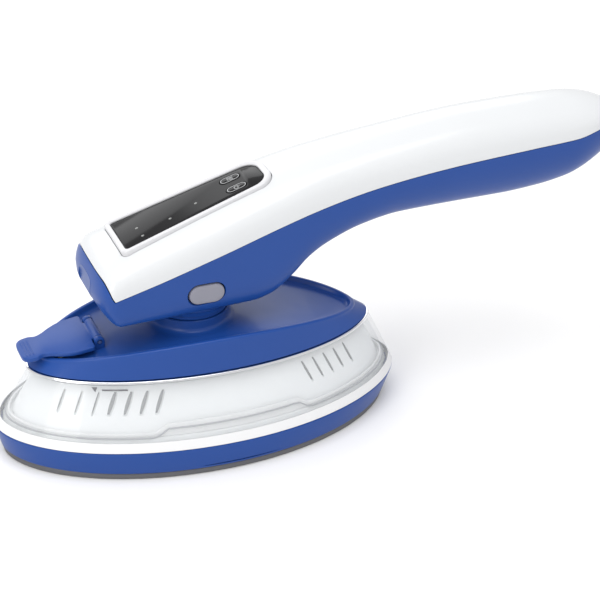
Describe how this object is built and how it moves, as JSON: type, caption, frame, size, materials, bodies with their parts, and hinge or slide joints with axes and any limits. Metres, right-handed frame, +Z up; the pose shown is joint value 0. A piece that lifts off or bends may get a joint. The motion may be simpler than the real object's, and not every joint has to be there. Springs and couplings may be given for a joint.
{
  "type": "handheld steamer",
  "caption": "Handheld garment steamer with an oval water-tank head on a flat soleplate and a swivelling grip with a key panel.",
  "frame": {"origin": "centre of the soleplate's lower face", "axes": "+Z up from the soleplate, -X towards the nose, +X along the grip to its tail, -Y the side with the left release button"},
  "size_m": [0.3185, 0.101, 0.1436],
  "materials": {
    "dark_sole": "satin",
    "silicone": "matt",
    "cast_aluminium": "cast",
    "steel": "plain",
    "nylon": "plain",
    "blue_plastic": "gloss",
    "white_plastic": "gloss",
    "white_liner": "satin",
    "clear_plastic": "clear",
    "pearl_plastic": "pearl",
    "bright_trim": "bright",
    "silver_plastic": "metallic",
    "black_panel": "high gloss",
    "grey_plastic": "satin",
    "copper": "wound copper",
    "black_rubber": "matt",
    "board_green": "satin"
  },
  "bodies": {
    "head": {"soleplate": "dark_sole", "chamber_gasket": "silicone", "heater_block": "cast_aluminium", "heating_element": "steel", "thermostat": "steel", "thermal_fuse": "nylon", "base_skirt": "blue_plastic", "heat_shield": "steel", "inner_housing": "white_liner", "well_seal": "silicone", "tank_liner": "white_liner", "water_tank": "clear_plastic", "tank_seal": "silicone", "tank_band": "pearl_plastic", "tank_trim_ring": "bright_trim", "top_cover": "blue_plastic", "flap_hinge_pin": "steel", "swivel_spindle": "steel", "bearing_washer": "nylon", "detent_crown": "nylon", "retaining_clip": "steel", "pump_body": "nylon", "pump_coil": "copper", "pump_cradle": "black_rubber", "inlet_hose": "silicone", "steam_feed_hose": "silicone", "connector_block": "nylon", "sole_screw_1": "steel", "sole_screw_2": "steel", "sole_screw_3": "steel", "sole_screw_4": "steel", "cover_screw_1": "steel", "cover_screw_2": "steel", "cover_screw_3": "steel", "cover_screw_4": "steel", "spindle_screw_1": "steel", "spindle_screw_2": "steel", "spindle_screw_3": "steel"},
    "flap": {"filler_flap": "blue_plastic", "filler_seal": "silicone"},
    "handle": {"handle_upper_shell": "white_plastic", "handle_lower_shell": "blue_plastic", "panel_bezel": "silver_plastic", "panel_glass": "black_panel", "control_board": "board_green", "release_bridge": "nylon", "release_spring_left": "steel", "release_spring_right": "steel", "terminal_block": "nylon", "internal_lead": "black_rubber", "cord_gland": "black_rubber", "handle_screw_1": "steel", "handle_screw_2": "steel", "handle_screw_3": "steel"},
    "release_left": {"release_button_left": "grey_plastic"},
    "release_right": {"release_button_right": "grey_plastic"},
    "power_key_body": {"power_key": "black_panel"},
    "steam_key_body": {"steam_key": "black_panel"}
  },
  "joints": [
    {"name": "filler_flap_hinge", "type": "hinge", "parent": "head", "child": "flap", "pos_m": [-0.051, 0, 0.0562], "axis": [0, 1, 0], "range_deg": [0, 70]},
    {"name": "handle_swivel", "type": "hinge", "parent": "head", "child": "handle", "pos_m": [-0.0045, 0, 0.068], "axis": [0, 0, 1], "range_deg": [-90, 90]},
    {"name": "release_button_left_press", "type": "slide", "parent": "handle", "child": "release_left", "axis": [0, 1, 0], "range_m": [0, 0.002], "stiffness_N_per_m": 500, "springref_m": -0.002, "deforming": ["release_spring_left"]},
    {"name": "release_button_right_press", "type": "slide", "parent": "handle", "child": "release_right", "axis": [0, -1, 0], "range_m": [0, 0.002], "stiffness_N_per_m": 500, "springref_m": -0.002, "deforming": ["release_spring_right"]},
    {"name": "power_key_press", "type": "slide", "parent": "handle", "child": "power_key_body", "axis": [0.319, 0, -0.9478], "range_m": [0, 0.0006], "stiffness_N_per_m": 1000, "springref_m": -0.0005},
    {"name": "steam_key_press", "type": "slide", "parent": "handle", "child": "steam_key_body", "axis": [0.319, 0, -0.9478], "range_m": [0, 0.0006], "stiffness_N_per_m": 1000, "springref_m": -0.0005}
  ]
}
